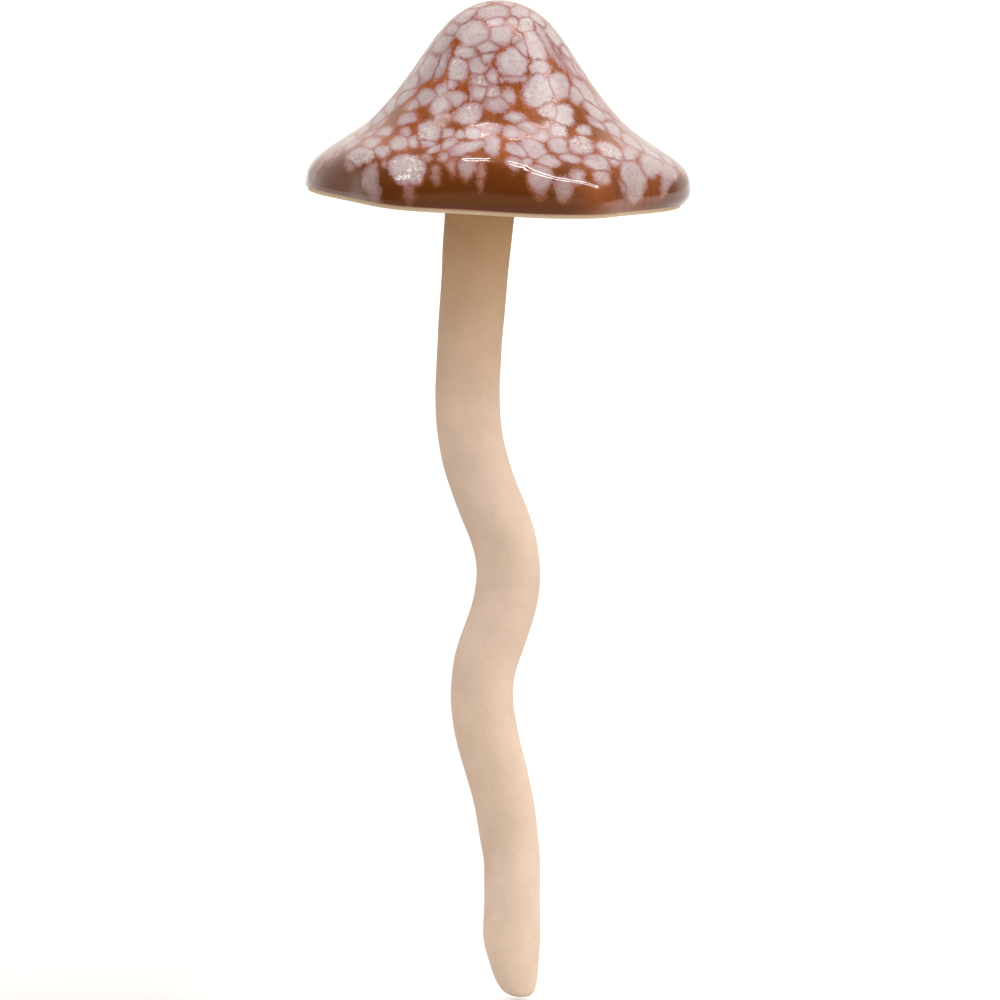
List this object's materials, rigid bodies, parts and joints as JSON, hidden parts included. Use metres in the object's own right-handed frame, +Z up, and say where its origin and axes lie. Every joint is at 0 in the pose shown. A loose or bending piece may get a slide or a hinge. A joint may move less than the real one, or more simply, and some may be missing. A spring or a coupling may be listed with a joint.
{
  "type": "mushroom ornament",
  "caption": "Bell-shaped glazed ceramic mushroom cap that seats on a wavy unglazed clay stem with a rounded push-in foot, and lifts off it.",
  "frame": {"origin": "on the axis of the straight foot of the stem, at the soil line, 2 mm below the top of the straight stretch", "axes": "+Z up along the foot, +X to the right and -Y to the front as the ornament is pictured; the bends of the stem lie in the XZ plane"},
  "size_m": [0.1157, 0.109, 0.3011],
  "materials": {
    "clay": "unglazed bisque, matt",
    "glaze": "glossy brown glaze with white crystal spots"
  },
  "bodies": {
    "stem": {"stem": "clay"},
    "cap": {"cap_body": "clay", "cap_glaze": "glaze", "stem_socket": "clay"}
  },
  "joints": [
    {"name": "cap_lift", "type": "slide", "parent": "stem", "child": "cap", "axis": [0.1045, 0, 0.9945], "range_m": [0, 0.07]}
  ]
}
